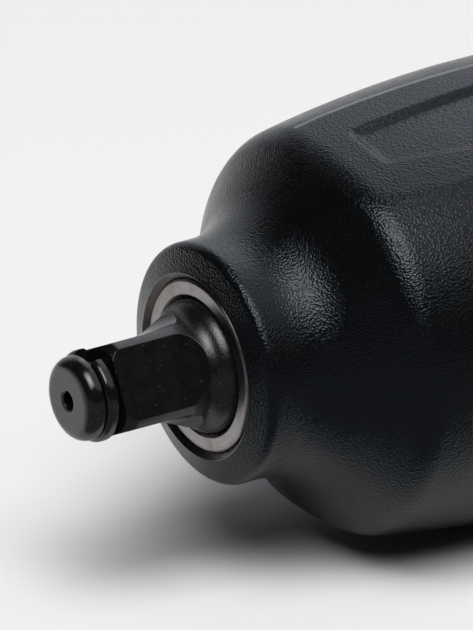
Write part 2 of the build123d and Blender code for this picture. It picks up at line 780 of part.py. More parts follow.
def handle_passages():
    """The air's way in from the inlet to the motor, and its way out to the exhaust."""
    cuts = [
        post(CHAMBER_TOP, CHAMBER_STEP, CHAMBER_R, CHAMBER_P),
        post(CHAMBER_STEP, BASE_Q, PASSAGE_R, CHAMBER_P),
        post(INLET_TOP, BASE_Q, INLET_SHANK_R, CHAMBER_P),
        block(EXHAUST_BACK, EXHAUST_FRONT, EXHAUST_TOP, BASE_Q, -EXHAUST_HALF, EXHAUST_HALF),
    ]
    near = EXHAUST_HALF - GAP
    far = near + SIDE_DUCT
    bottom = EXHAUST_TOP + SIDE_DUCT
    cuts.append(block(EXHAUST_BACK, SIDE_DUCT_FRONT, SIDE_DUCT_TOP, bottom, near, far))
    cuts.append(block(EXHAUST_BACK, SIDE_DUCT_FRONT, SIDE_DUCT_TOP, bottom, -far, -near))
    return cuts


def make_motor_housing():
    body = turned_corners(
        (HOUSING_FRONT, 0),
        (HOUSING_FRONT, CASE_R),
        (HOUSING_FRONT - HOUSING_FLANGE, CASE_R),
        (HOUSING_FRONT - HOUSING_FLANGE - HOUSING_SLOPE, HOUSING_WAIST_R),
        (HOUSING_BACK + HOUSING_FLANGE + HOUSING_SLOPE, HOUSING_WAIST_R),
        (HOUSING_BACK + HOUSING_FLANGE, CASE_R),
        (HOUSING_BACK, CASE_R),
        (HOUSING_BACK, 0),
    )
    body += diagonal_rods(HOUSING_FRONT, HOUSING_FRONT - HOUSING_FLANGE, EAR_R, EAR_CIRCLE)
    body += diagonal_rods(HOUSING_BACK, HOUSING_BACK + HOUSING_FLANGE, REAR_EAR_R, REAR_EAR_CIRCLE)
    body += rod(HOUSING_BACK, LOBE_FRONT, LOBE_R, VALVE_Y)
    body += HANDLE * handle_bar(0)
    body -= HANDLE * grip_band()
    body -= rod(HOUSING_FRONT, HOUSING_BACK, STACK_R)
    body -= rod(HOUSING_BACK, VALVE_FRONT, VALVE_BUSHING_R, VALVE_Y)
    for cut in trigger_pocket() + handle_passages() + deflector_screw_holes():
        body -= HANDLE * cut
    body -= diagonal_rods(HOUSING_FRONT, BOLT_END - GAP, BOLT_R + INSERT_WALL, EAR_CIRCLE)
    body -= diagonal_rods(HOUSING_BACK, SCREW_END + GAP, SCREW_R + INSERT_WALL, REAR_EAR_CIRCLE)
    return body


def make_front_inserts():
    bars = diagonal_rods(HOUSING_FRONT, HOUSING_FRONT - INSERT_LENGTH, BOLT_R + INSERT_WALL, EAR_CIRCLE)
    holes = diagonal_rods(HOUSING_FRONT, HOUSING_FRONT - INSERT_LENGTH, BOLT_R, EAR_CIRCLE)
    return [bar - hole for bar, hole in zip(bars, holes)]


def make_rear_inserts():
    bars = diagonal_rods(HOUSING_BACK, HOUSING_BACK + INSERT_LENGTH, SCREW_R + INSERT_WALL, REAR_EAR_CIRCLE)
    holes = diagonal_rods(HOUSING_BACK, HOUSING_BACK + INSERT_LENGTH, SCREW_R, REAR_EAR_CIRCLE)
    return [bar - hole for bar, hole in zip(bars, holes)]


def make_grip_sleeve():
    return HANDLE * grip_band()


# Rear cover


def cover_plate(x_from, x_to):
    """The rear cover's outline: a round, four ears and a lobe for the selector."""
    plate = rod(x_from, x_to, CASE_R)
    plate += diagonal_rods(x_from, x_to, REAR_EAR_R, REAR_EAR_CIRCLE)
    plate += rod(x_from, x_to, LOBE_R, VALVE_Y)
    return plate


def make_rear_cover_gasket():
    plate = cover_plate(HOUSING_BACK, COVER_FRONT) - rod(HOUSING_BACK, COVER_FRONT, STACK_R)
    plate -= rod(HOUSING_BACK, COVER_FRONT, VALVE_BUSHING_R - 1, VALVE_Y)
    plate -= diagonal_rods(HOUSING_BACK, COVER_FRONT, SCREW_R + HOLE_PLAY, REAR_EAR_CIRCLE)
    return plate


def make_rear_cover():
    wall = Polyline((COVER_FRONT, 0), (COVER_FRONT, CASE_R), (COVER_SEAT, CASE_R))
    dome = JernArc(wall @ 1, (-1, 0), COVER_ROUND, 90)
    back = Polyline(dome @ 1, (COVER_BACK, 0), (COVER_FRONT, 0))
    body = turned(wall, dome, back) + cover_plate(COVER_FRONT, COVER_SEAT)
    body += rod(STACK_BACK, COVER_FRONT, STACK_R)
    body -= rod(STACK_BACK, COVER_BACK + COVER_WALL, SPIGOT_INNER)
    body -= rod(COVER_SEAT, COVER_BACK, KNOB_R + 4 * GAP, VALVE_Y)
    body -= rod(COVER_FRONT, COVER_SEAT, STEM_TURN_R + GAP, VALVE_Y)
    body -= diagonal_rods(COVER_SEAT, COVER_BACK, SCREW_HEAD_R + POCKET_PLAY, REAR_EAR_CIRCLE)
    body -= diagonal_rods(COVER_FRONT, COVER_SEAT, SCREW_R + HOLE_PLAY, REAR_EAR_CIRCLE)
    return body - rod(COVER_SEAT, DETENT_HOLE_END, DETENT_R, VALVE_Y + DETENT_CIRCLE)


def make_rear_cover_screws():
    screw = cap_screw(COVER_SEAT, SCREW_END, SCREW_R, SCREW_HEAD_R, SCREW_HEAD, SCREW_KEY, -1)
    return [Pos(0, *polar(REAR_EAR_CIRCLE, angle)) * screw for angle in DIAGONALS]


# Direction selector


def make_reverse_valve_bushing():
    body = tube(HOUSING_BACK, VALVE_FRONT, VALVE_BUSHING_R, VALVE_R + FIT, VALVE_Y)
    middle = (HOUSING_BACK + VALVE_FRONT) / 2
    return body - Pos(middle, VALVE_Y, 0) * Cylinder(STEM_TURN_R, 3 * VALVE_BUSHING_R)


def valve_groove_x():
    """The middle of the O-ring's groove, on the valve's rear land."""
    return HOUSING_BACK + VALVE_LAND / 2


def make_reverse_valve():
    body = rod(HOUSING_BACK - GAP, VALVE_FRONT - GAP, VALVE_R, VALVE_Y)
    body += rod(HOUSING_BACK - GAP, STEM_BACK, STEM_TURN_R, VALVE_Y)
    body -= rod(STEM_BACK, COVER_SEAT, STEM_TURN_R / 2, VALVE_Y)
    groove = tube(valve_groove_x() - O_RING_R, valve_groove_x() + O_RING_R, VALVE_R, VALVE_R - 2 * O_RING_R)
    body -= Pos(0, VALVE_Y, 0) * groove
    waist_back = HOUSING_BACK + VALVE_LAND
    waist_front = VALVE_FRONT - VALVE_LAND
    waist = block(waist_back, waist_front, -VALVE_R, VALVE_R, STEM_TURN_R, VALVE_R)
    body -= Pos(0, VALVE_Y, 0) * waist
    return body - Pos(0, VALVE_Y, 0) * mirror(waist, about=Plane.XY)


def make_reverse_valve_o_ring():
    return o_ring(valve_groove_x(), VALVE_R - O_RING_R, O_RING_R, VALVE_Y)


def make_selector_knob():
    body = rod(KNOB_FRONT, KNOB_BACK, KNOB_R)
    body = fillet(body.edges().group_by(Axis.X)[0], KNOB_EDGE)
    for grip in range(KNOB_GRIPS):
        y, z = polar(KNOB_GRIP_CIRCLE, (grip + 0.5) * 360 / KNOB_GRIPS)
        body -= rod(KNOB_FRONT - KNOB_RIM, KNOB_BACK, KNOB_GRIP_R, y, z)
    body -= rod(KNOB_FRONT, KNOB_BACK, STEM_TURN_R)
    body -= o_ring(KNOB_FRONT, DETENT_CIRCLE, DETENT_R)
    return Pos(0, VALVE_Y, 0) * body


def make_knob_screw():
    top = KNOB_BACK + KNOB_SCREW_SINK
    screw = rod(STEM_BACK, top, STEM_TURN_R) + rod(STEM_BACK, COVER_SEAT, STEM_TURN_R / 2)
    return Pos(0, VALVE_Y, 0) * (screw - driver_slot(top, 1, STEM_TURN_R))


def make_detent_ball():
    return Pos(DETENT_X, VALVE_Y + DETENT_CIRCLE, 0) * Sphere(DETENT_R - FIT)


def make_detent_spring():
    length = DETENT_HOLE_END - DETENT_X - DETENT_R - GAP
    return Pos(DETENT_HOLE_END, VALVE_Y + DETENT_CIRCLE, 0) * Rot(0, -90, 0) * coil(DETENT_SPRING, length)


# Trigger and throttle


def make_trigger():
    middle_q = (TRIGGER_TOP + TRIGGER_BOTTOM) / 2
    hollow_p = (TRIGGER_FRONT_TOP + TRIGGER_FRONT_BOTTOM) / 2 - TRIGGER_HOLLOW
    top = Line((TRIGGER_BACK, TRIGGER_TOP), (TRIGGER_FRONT_TOP, TRIGGER_TOP))
    front = ThreePointArc(top @ 1, (hollow_p, middle_q), (TRIGGER_FRONT_BOTTOM, TRIGGER_BOTTOM))
    back = Polyline(front @ 1, (TRIGGER_BACK, TRIGGER_BOTTOM), (TRIGGER_BACK, TRIGGER_TOP))
    body = extrude(make_face([top, front, back]), amount=TRIGGER_HALF, both=True)
    front_face = body.faces().sort_by(Axis.X)[-1]
    return HANDLE * fillet(front_face.edges(), TRIGGER_ROUND)


def make_trigger_rod():
    return HANDLE * Pos(0, ROD_Q, 0) * rod(ROD_TIP, TRIGGER_BACK, ROD_R)


def make_trigger_rod_bush():
    reach = CHAMBER_P + math.sqrt(CHAMBER_R ** 2 - ROD_BUSH_R ** 2)
    return HANDLE * Pos(0, ROD_Q, 0) * tube(reach, POCKET_BACK, ROD_BUSH_R, ROD_R + FIT)


def make_trigger_spring():
    length = TRIGGER_BACK - POCKET_BACK - GAP
    return HANDLE * Pos(POCKET_BACK, ROD_Q, 0) * Rot(0, 90, 0) * coil(TRIGGER_SPRING, length)


def make_throttle_seat():
    ring = post(SEAT_TOP, SEAT_BOTTOM, CHAMBER_R, CHAMBER_P)
    ring -= post(SEAT_TOP, SEAT_BOTTOM, SEAT_HOLE, CHAMBER_P)
    return HANDLE * ring


def make_throttle_valve():
    valve = post(DISC_Q, DISC_Q + DISC_THICK, DISC_R, CHAMBER_P)
    valve += post(THROTTLE_STEM_TOP, DISC_Q, THROTTLE_STEM_R, CHAMBER_P)
    return HANDLE * valve


def make_throttle_spring():
    start = DISC_Q + DISC_THICK
    length = CHAMBER_STEP - start - GAP
    return HANDLE * Pos(CHAMBER_P, CHAMBER_STEP, 0) * Rot(90, 0, 0) * coil(THROTTLE_SPRING, length)


# Air inlet and exhaust


def make_inlet_bushing():
    thread_top = INLET_END - INLET_THREAD
    body = post(INLET_TOP, DECK_Q, INLET_SHANK_R, CHAMBER_P)
    hexagon = RegularPolygon(INLET_HEX / 2, 6, major_radius=False)
    body += extrude(handle_plane(DECK_Q, CHAMBER_P) * hexagon, amount=INLET_COLLAR)
    body &= post(INLET_TOP, INLET_END, INLET_CORNER_R, CHAMBER_P)
    body -= post(INLET_TOP, INLET_END, INLET_THROAT, CHAMBER_P)
    body -= post(thread_top, INLET_END, INLET_R, CHAMBER_P)
    body -= post(thread_top - THREAD_RELIEF, thread_top, RELIEF_R, CHAMBER_P)
    body -= inlet_groove()
    return HANDLE * body


def inlet_groove():
    """The O-ring's groove round the inlet bushing."""
    middle = (INLET_TOP + BASE_Q) / 2
    top = middle - O_RING_R
    bottom = middle + O_RING_R
    return post(top, bottom, INLET_SHANK_R, CHAMBER_P) - post(
        top, bottom, INLET_SHANK_R - 2 * O_RING_R, CHAMBER_P
    )


def make_inlet_o_ring():
    place = Pos(CHAMBER_P, (INLET_TOP + BASE_Q) / 2, 0)
    return HANDLE * place * Rot(90, 0, 0) * Torus(INLET_SHANK_R - O_RING_R, O_RING_R)


def make_inlet_screen():
    """A pierced disc across the inlet's throat."""
    bottom = INLET_END - INLET_THREAD - THREAD_RELIEF
    top = bottom - SCREEN_THICK
    disc = post(top, bottom, INLET_THROAT, CHAMBER_P)
    for ring in range(SCREEN_RINGS):
        count = max(1, 6 * ring)
        for hole in range(count):
            p, z = polar(ring * SCREEN_PITCH, hole * 360 / count)
            disc -= post(top, bottom, SCREEN_HOLE_R, CHAMBER_P + p, z)
    return HANDLE * disc


def make_muffler_element():
    felt = block(EXHAUST_BACK, EXHAUST_FRONT, BASE_Q - MUFFLER_LENGTH, BASE_Q, -EXHAUST_HALF, EXHAUST_HALF)
    return HANDLE * felt


def deflector_screw_places():
    return [(BASE_SCREW_P, side * EXHAUST_HALF) for side in (-1, 1)]


def deflector_screw_holes():
    return [post(BASE_SCREW_TIP, BASE_Q, BASE_SCREW_R, p, z) for p, z in deflector_screw_places()]


def make_exhaust_deflector():
    outline = RectangleRounded(BASE_DEPTH, BASE_WIDTH, BASE_CORNER)
    body = extrude(handle_plane(BASE_Q) * outline, amount=DEFLECTOR)
    body = fillet(body.edges().group_by(Axis.Y)[-1], DEFLECTOR_EDGE)
    body -= post(BASE_Q, DECK_Q, INLET_SHANK_R, CHAMBER_P)
    pitch = (EXHAUST_FRONT - EXHAUST_BACK) / VENT_COUNT
    half = VENT_WIDTH / 2
    reach = EXHAUST_HALF - VENT_WIDTH / 2
    for vent in range(VENT_COUNT):
        middle = EXHAUST_BACK + (vent + 0.5) * pitch
        body -= block(middle - half, middle + half, BASE_Q, DECK_Q, -reach, reach)
    for p, z in deflector_screw_places():
        body -= post(BASE_Q, DECK_Q, BASE_SCREW_R, p, z)
        body -= post(DECK_Q - BASE_SCREW_SEAT, DECK_Q, BASE_SCREW_HEAD_R + GAP, p, z)
    return HANDLE * body


def make_deflector_screws():
    seat = DECK_Q - BASE_SCREW_SEAT
    top = seat + BASE_SCREW_HEAD
    screw = rod(BASE_SCREW_TIP, seat, BASE_SCREW_R) + rod(seat, top, BASE_SCREW_HEAD_R)
    screw -= driver_slot(top, -1, BASE_SCREW_HEAD_R)
    upright = Rot(0, 0, 90) * screw
    return [HANDLE * Pos(p, 0, z) * upright for p, z in deflector_screw_places()]


# The whole tool, node by node

FRONT = (CYLINDER_FRONT, 1, FRONT_BEARING)
REAR = (CYLINDER_BACK, -1, REAR_BEARING)
nodes = {
    "hammer_case": make_hammer_case(),
    "anvil_bushing": make_anvil_bushing(),
    "hammer_case_gasket": make_hammer_case_gasket(),
    "hammer_case_bolts": make_hammer_case_bolts(),
    "hammer_case_washers": make_hammer_case_washers(),
    "anvil": make_anvil(),
    "friction_ring": make_friction_ring(),
    "ring_backing": make_ring_backing(),
    "hammer_frame": make_hammer_frame(),
    "hammer_pins": make_hammer_pins(),
    "front_hammer": make_front_hammer(),
    "rear_hammer": make_rear_hammer(),
    "motor_housing": make_motor_housing(),
    "front_inserts": make_front_inserts(),
    "rear_inserts": make_rear_inserts(),
    "grip_sleeve": make_grip_sleeve(),
    "front_end_plate": end_plate(*FRONT),
    "rear_end_plate": end_plate(*REAR),
    "cylinder": make_cylinder(),
    "cylinder_dowel": dowel(),
    "rotor": make_rotor(),
    "rotor_vanes": make_rotor_vanes(),
    "front_bearing_outer_race": make_outer_race(*FRONT),
    "front_bearing_inner_race": make_inner_race(*FRONT),
    "front_bearing_balls": make_balls(*FRONT),
    "front_bearing_cage": make_cage(*FRONT),
    "rear_bearing_outer_race": make_outer_race(*REAR),
    "rear_bearing_inner_race": make_inner_race(*REAR),
    "rear_bearing_balls": make_balls(*REAR),
    "rear_bearing_cage": make_cage(*REAR),
    "rear_cover": make_rear_cover(),
    "rear_cover_gasket": make_rear_cover_gasket(),
    "rear_cover_screws": make_rear_cover_screws(),
    "reverse_valve_bushing": make_reverse_valve_bushing(),
    "reverse_valve": make_reverse_valve(),
    "reverse_valve_o_ring": make_reverse_valve_o_ring(),
    "selector_knob": make_selector_knob(),
    "knob_screw": make_knob_screw(),
    "detent_ball": make_detent_ball(),
    "detent_spring": make_detent_spring(),
    "trigger": make_trigger(),
    "trigger_rod": make_trigger_rod(),
    "trigger_rod_bush": make_trigger_rod_bush(),
    "trigger_spring": make_trigger_spring(),
    "throttle_seat": make_throttle_seat(),
    "throttle_valve": make_throttle_valve(),
    "throttle_spring": make_throttle_spring(),
    "inlet_bushing": make_inlet_bushing(),
    "inlet_o_ring": make_inlet_o_ring(),
    "inlet_screen": make_inlet_screen(),
    "muffler_element": make_muffler_element(),
    "exhaust_deflector": make_exhaust_deflector(),
    "deflector_screws": make_deflector_screws(),
}

os.makedirs("parts", exist_ok=True)
lie = Rot(-ROLL, 0, 0)
for name, shape in nodes.items():
    pieces = shape if isinstance(shape, list) else [shape]
    solids = [lie * solid for piece in pieces for solid in piece.solids()]
    export_step(Compound(children=solids), f"parts/{name}.step")
print(f"roll {ROLL:.4f} degrees, {len(nodes)} nodes")
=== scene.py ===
import json
import math

import bpy
import numpy as np
from mathutils import Matrix, Vector
from mathutils.bvhtree import BVHTree


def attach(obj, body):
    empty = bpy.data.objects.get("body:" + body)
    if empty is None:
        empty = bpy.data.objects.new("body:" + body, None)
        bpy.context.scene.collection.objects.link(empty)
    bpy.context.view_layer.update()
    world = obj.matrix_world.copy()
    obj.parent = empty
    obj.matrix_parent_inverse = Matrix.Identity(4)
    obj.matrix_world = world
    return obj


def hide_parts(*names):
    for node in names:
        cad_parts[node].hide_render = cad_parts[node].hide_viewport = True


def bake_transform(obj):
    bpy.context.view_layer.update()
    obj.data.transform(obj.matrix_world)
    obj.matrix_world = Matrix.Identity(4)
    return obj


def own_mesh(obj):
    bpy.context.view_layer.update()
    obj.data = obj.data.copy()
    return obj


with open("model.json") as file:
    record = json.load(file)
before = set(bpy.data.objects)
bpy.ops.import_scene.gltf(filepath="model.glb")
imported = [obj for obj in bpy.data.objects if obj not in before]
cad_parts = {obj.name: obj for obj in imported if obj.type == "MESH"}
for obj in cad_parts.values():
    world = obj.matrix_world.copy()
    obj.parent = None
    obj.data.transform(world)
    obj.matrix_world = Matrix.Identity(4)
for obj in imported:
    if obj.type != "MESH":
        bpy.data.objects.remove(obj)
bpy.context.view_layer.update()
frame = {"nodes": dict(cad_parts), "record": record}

MM = 0.001

# The anvil in millimetres, as in the CAD: its tip, the back end of its flats, and two radii
TIP_X = 21.75
RUNOUT_X = 5.8
CORNER_R = 8.25
JOURNAL_R = 9.9

# Sizes of the hammer case in millimetres, as in the CAD. The distance s runs back from the nose face.
ROLL = 4.7359
NOSE_R = 17.8
NOSE_EDGE = 1.5
NOSE_SLOPE = 20
NOSE_LENGTH = 5.1
NECK_R = 12.0
CONE_ANGLE = 52
CONE_LENGTH = 7.0
SHOULDER_ROUND = 6.2
TAPER_ANGLE = 9.4
TAPER_END = 52.0
CASE_R = 33.0
CASE_LENGTH = 86.0
BORE_R = 12.7
MOUTH_CHAMFER = 1.0
MOUTH_RIM = 0.07
CAVITY_FRONT = 27.0
CAVITY_R = 27.0
CAVITY_CHAMFER = 2.0
FACET_BULGE = 40.0
FACET_SINK = 1.42
FACET_ANGLE = 85.8
FACET_SKEW = 4.4
FACET_START = 22.0
FACET_NOSE_R = 9.5
FACET_NOSE_TURN = 35
FACET_FRONT = 13.0
FACET_END = 66.0
SHARP_BLEND = 0.1
SOFT_BLEND = 0.6
SOFT_END = 27.0
# How far from the crease the painted highlight line reaches, in millimetres
CREASE_REACH = 0.09
PANEL_DEPTH = 0.9
PANEL_WALL = 1.8
PANEL_CORNER = 1.6
PANEL_FRONT = 27.2
PANEL_BACK = 60.0
PANEL_FAR_EDGE = -2.5
PANEL_EDGE_FRONT = 6.3
PANEL_EDGE_BACK = 14.8
EAR_ANGLES = (45, 135, -45, -135)
EAR_CIRCLE = 34.5
EAR_R = 6.0
EAR_START = 74.0
CHANNEL_START = 40.0
POCKET_R = 5.2

# Columns of the hammer case's mesh, in degrees from the handle side
FINE_FROM = 52
FINE_STEP = 0.25
FINEST_FROM = 98
FINEST_STEP = 0.1
FINEST_TO = 118
PLAIN_STEP = 0.8

# Rows of that mesh lie this near to each side of an upright wall, in millimetres
WALL_STEP = 0.02

# Edges that turn by more degrees than this are shaded sharp
CASE_SHARP = 40
GRIP_SHARP = 50

# Sizes of the rubber grip in millimetres, measured along the raked handle as in the CAD
HANDLE_X = -124.0
RAKE = 6.0
GRIP_FROM = 70.0
GRIP_TO = 142.0
GRIP_MIDDLE = -1.0
GRIP_WALL = 1.8
GRIP_END_GAP = 0.05
PLAIN_BAND = 4.5
BAND_FADE = 0.5
DIMPLE_PITCH = 4.2
DIMPLE_R = 1.35
DIMPLE_DEPTH = 0.6
DIMPLE_FLOOR = 0.45
GRIP_ROWS = 190
GRIP_COLUMNS = 264

# The grip's shape is felt for from this far out, in millimetres
PROBE_START = 100.0


# Shape helpers

# Which way an outline's arc bends
OUTWARD = 1
INWARD = -1


def arc(start, tilt_from, tilt_to, radius, bend, steps):
    """Points of an outline's arc in s and r, from one tilt in degrees to another."""
    tilts = np.radians(np.linspace(tilt_from, tilt_to, steps + 1))
    first = tilts[0]
    s = start[0] + bend * radius * (np.sin(tilts) - np.sin(first))
    r = start[1] + bend * radius * (np.cos(first) - np.cos(tilts))
    return list(zip(s, r))


def line(start, end, steps):
    """Points of an outline's straight stretch."""
    share = np.linspace(0, 1, steps + 1)[:, None]
    return [tuple(point) for point in np.array(start) * (1 - share) + np.array(end) * share]


def smooth_step(value, low, high):
    """0 below the low limit, 1 above the high one, and an S curve between them."""
    share = np.clip((value - low) / (high - low), 0, 1)
    return share * share * (3 - 2 * share)


def smooth_min(a, b, blend):
    """The lesser of two heights, rounded off over a blend width where they cross."""
    near = np.maximum(blend - np.abs(a - b), 0) / blend
    return np.minimum(a, b) - near * near * blend / 4


def ring_faces(rings, columns, closed):
    """Faces between neighbouring rings of points, and from the last ring to the first if closed."""
    faces = []
    for ring in range(rings if closed else rings - 1):
        following = (ring + 1) % rings
        for column in range(columns):
            after = (column + 1) % columns
            faces.append((
                ring * columns + column,
                ring * columns + after,
                following * columns + after,
                following * columns + column,
            ))
    return faces


def mesh_object(name, points, faces, materials, face_materials=None, sharp=None):
    """A smooth-shaded object from points in millimetres, with edges sharper than an angle kept."""
    mesh = bpy.data.meshes.new(name)
    mesh.from_pydata([tuple(point) for point in np.asarray(points) * MM], [], faces)
    for material in materials:
        mesh.materials.append(material)
    if face_materials is not None:
        mesh.polygons.foreach_set("material_index", face_materials)
    mesh.polygons.foreach_set("use_smooth", [True] * len(mesh.polygons))
    if sharp is not None:
        mesh.set_sharp_from_angle(angle=math.radians(sharp))
    made = bpy.data.objects.new(name, mesh)
    bpy.context.scene.collection.objects.link(made)
    return made


# Material helpers


class Paint:
    """A material being put together: its node tree, its shader and the object's own coordinates."""

    def __init__(self, name, colour, roughness, metallic=0.0):
        self.material = bpy.data.materials.new(name)
        self.material.use_nodes = True
        self.tree = self.material.node_tree
        self.shader = self.tree.nodes["Principled BSDF"]
        self.place = self.add("ShaderNodeTexCoord").outputs["Object"]
        self.set("Base Color", (*colour, 1))
        self.set("Roughness", roughness)
        self.set("Metallic", metallic)

    def add(self, kind, **values):
        """A new node of a kind, with its settings."""
        node = self.tree.nodes.new(kind)
        for key, value in values.items():
            setattr(node, key, value)
        return node

    def set(self, socket, value):
        """Gives the shader one value all over."""
        self.shader.inputs[socket].default_value = value

    def link(self, output, target):
        self.tree.links.new(output, target)

    def use(self, socket, output):
        """Gives the shader a value that varies over the surface."""
        self.link(output, self.shader.inputs[socket])

    def noise(self, size, detail=2.0, rough=0.5, source=None):
        """Noise whose grains are about a size in millimetres, from 0 to 1."""
        node = self.add("ShaderNodeTexNoise")
        node.inputs["Scale"].default_value = 1 / (size * MM)
        node.inputs["Detail"].default_value = detail
        node.inputs["Roughness"].default_value = rough
        self.link(source or self.place, node.inputs["Vector"])
        return node.outputs["Fac"]

    def cells(self, size, smooth=0.6):
        """Rounded grains of about a size in millimetres: 0 in the middle of each."""
        node = self.add("ShaderNodeTexVoronoi", feature="SMOOTH_F1")
        node.inputs["Scale"].default_value = 1 / (size * MM)
        node.inputs["Smoothness"].default_value = smooth
        self.link(self.place, node.inputs["Vector"])
        return node.outputs["Distance"]

    def specks(self, spacing, size, share):
        """Dots of about a size in a share of the cells of a spacing, in millimetres: 1 on a dot."""
        node = self.add("ShaderNodeTexVoronoi")
        node.inputs["Scale"].default_value = 1 / (spacing * MM)
        self.link(self.place, node.inputs["Vector"])
        edge = size / spacing / 2
        dot = self.between(node.outputs["Distance"], edge, edge * 0.6)
        split = self.add("ShaderNodeSeparateColor")
        self.link(node.outputs["Color"], split.inputs["Color"])
        return self.math("MULTIPLY", dot, self.math("LESS_THAN", split.outputs["Red"], share))

    def stretched(self, along, across):
        """The place, scaled so that noise of size 1 has grains of a length along X and another across it."""
        node = self.add("ShaderNodeVectorMath", operation="MULTIPLY")
        node.inputs[1].default_value = (1 / along, 1 / across, 1 / across)
        self.link(self.place, node.inputs[0])
        return node.outputs["Vector"]

    def between(self, source, low, high, to_low=0.0, to_high=1.0):
        """A value carried from one range to another, and kept inside it."""
        node = self.add("ShaderNodeMapRange")
        for socket, value in zip(("From Min", "From Max", "To Min", "To Max"), (low, high, to_low, to_high)):
            node.inputs[socket].default_value = value
        self.link(source, node.inputs["Value"])
        return node.outputs["Result"]

    def math(self, operation, a, b):
        """A sum on two values, each a number or another node's output."""
        node = self.add("ShaderNodeMath", operation=operation)
        for socket, value in zip(node.inputs, (a, b)):
            if isinstance(value, (int, float)):
                socket.default_value = value
            else:
                self.link(value, socket)
        return node.outputs["Value"]

    def colours(self, share, first, second):
        """One colour at share 0 and another at 1."""
        node = self.add("ShaderNodeMix", data_type="RGBA")
        sockets = [socket for socket in node.inputs if socket.type == "RGBA"]
        for socket, colour in zip(sockets, (first, second)):
            if hasattr(colour, "is_linked"):
                self.link(colour, socket)
            else:
                socket.default_value = (*colour, 1)
        self.link(share, node.inputs["Factor"])
        return next(output for output in node.outputs if output.type == "RGBA")

    def soft_edges(self, radius):
        """The surface with its edges shaded as if rounded to a radius in millimetres."""
        node = self.add("ShaderNodeBevel", samples=4)
        node.inputs["Radius"].default_value = radius * MM
        return node.outputs["Normal"]

    def bump(self, height, depth, below=None):
        """A bump whose full height is a depth in millimetres, on top of another one if given."""
        node = self.add("ShaderNodeBump")
        node.inputs["Distance"].default_value = depth * MM
        self.link(height, node.inputs["Height"])
        if below is not None:
            self.link(below, node.inputs["Normal"])
        return node.outputs["Normal"]

    def along(self):
        """The distance along the drive axis, in metres."""
        node = self.add("ShaderNodeSeparateXYZ")
        self.link(self.place, node.inputs["Vector"])
        return node.outputs["X"]

    def radius(self):
        """The distance from the drive axis, in metres."""
        node = self.add("ShaderNodeVectorMath", operation="MULTIPLY")
        node.inputs[1].default_value = (0, 1, 1)
        self.link(self.place, node.inputs[0])
        length = self.add("ShaderNodeVectorMath", operation="LENGTH")
        self.link(node.outputs["Vector"], length.inputs[0])
        return length.outputs["Value"]

    def turned_rings(self, size):
        """Fine rings about the drive axis, of about a size in millimetres."""
        node = self.add("ShaderNodeTexNoise", noise_dimensions="1D")
        node.inputs["Scale"].default_value = 1 / (size * MM)
        node.inputs["Detail"].default_value = 3
        self.link(self.radius(), node.inputs["W"])
        return node.outputs["Fac"]


# Materials


def powder_coat():
    """Pebbled black powder coat."""
    paint = Paint("powder_coat", (0.0024, 0.0026, 0.0030), 0.25)
    paint.set("Specular IOR Level", 0.27)
    paint.set("Specular Tint", (0.79, 0.9, 1.0, 1))
    peel = paint.bump(paint.noise(0.2, 1), 0.02)
    paint.use("Normal", paint.bump(paint.cells(0.34, 0.15), 0.07, below=peel))
    patches = paint.noise(6, 3)
    paint.use("Roughness", paint.between(patches, 0.3, 0.7, 0.18, 0.26))
    return paint.material


def painted_glint_coat():
    """A painted highlight along the far edge of a facet: the coat painted paler there, and a little
    smoother.
    """
    paint = Paint("painted_glint_coat", (0.13, 0.135, 0.143), 0.3)
    paint.set("Specular IOR Level", 0.26)
    # The painted highlight's brightness varies at random along the edge
    painted_sheen_mix = paint.between(paint.noise(3, 3), 0.3, 0.7)
    paint.use("Base Color", paint.colours(painted_sheen_mix, (0.1, 0.105, 0.112), (0.15, 0.156, 0.165)))
    return paint.material


def black_oxide():
    """Glossy black oxide, brown where the film is thin, painted paler on the tip face as a painted
    reflection, pitted on the collar, with a little dust.
    """
    paint = Paint("black_oxide", (0.003, 0.003, 0.003), 0.16)
    paint.set("IOR", 1.46)
    thin_film_and_glint = paint.between(paint.noise(2.2, 4, 0.6), 0.52, 0.74)
    film = paint.colours(thin_film_and_glint, (0.0042, 0.0042, 0.0043), (0.0085, 0.0062, 0.0052))
    dust = paint.specks(0.6, 0.1, 0.5)
    # The tip face is painted paler: a painted reflection of the light the face catches
    face = paint.between(paint.along(), (TIP_X - 0.3) * MM, (TIP_X - 0.05) * MM)
    painted_sheen_mix = paint.colours(face, film, (0.042, 0.042, 0.044))
    paint.use("Base Color", paint.colours(dust, painted_sheen_mix, (0.3, 0.3, 0.29)))
    gloss = paint.between(paint.noise(0.9, 4), 0.3, 0.72, 0.12, 0.22)
    behind = paint.between(paint.along(), RUNOUT_X * MM, (RUNOUT_X - 0.8) * MM)
    turned = paint.between(paint.radius(), (CORNER_R - 0.25) * MM, CORNER_R * MM)
    collar = paint.math("MULTIPLY", behind, turned)
    pits = paint.noise(0.3, 3, 0.6)
    blasted = paint.math("MULTIPLY", collar, paint.between(pits, 0.3, 0.7, 0.2, 0.32))
    dull = paint.math("MAXIMUM", blasted, dust)
    paint.use("Roughness", paint.math("MAXIMUM", gloss, dull))
    marks = paint.between(paint.noise(1 / MM, 1, 0.5, paint.stretched(0.12 * MM, 7 * MM)), 0.66, 0.76)
    grain = paint.bump(paint.noise(0.14, 2), 0.002, below=paint.soft_edges(0.12))
    pitted = paint.bump(paint.math("MULTIPLY", collar, pits), 0.03, below=grain)
    paint.use("Normal", paint.bump(marks, 0.004, below=pitted))
    return paint.material


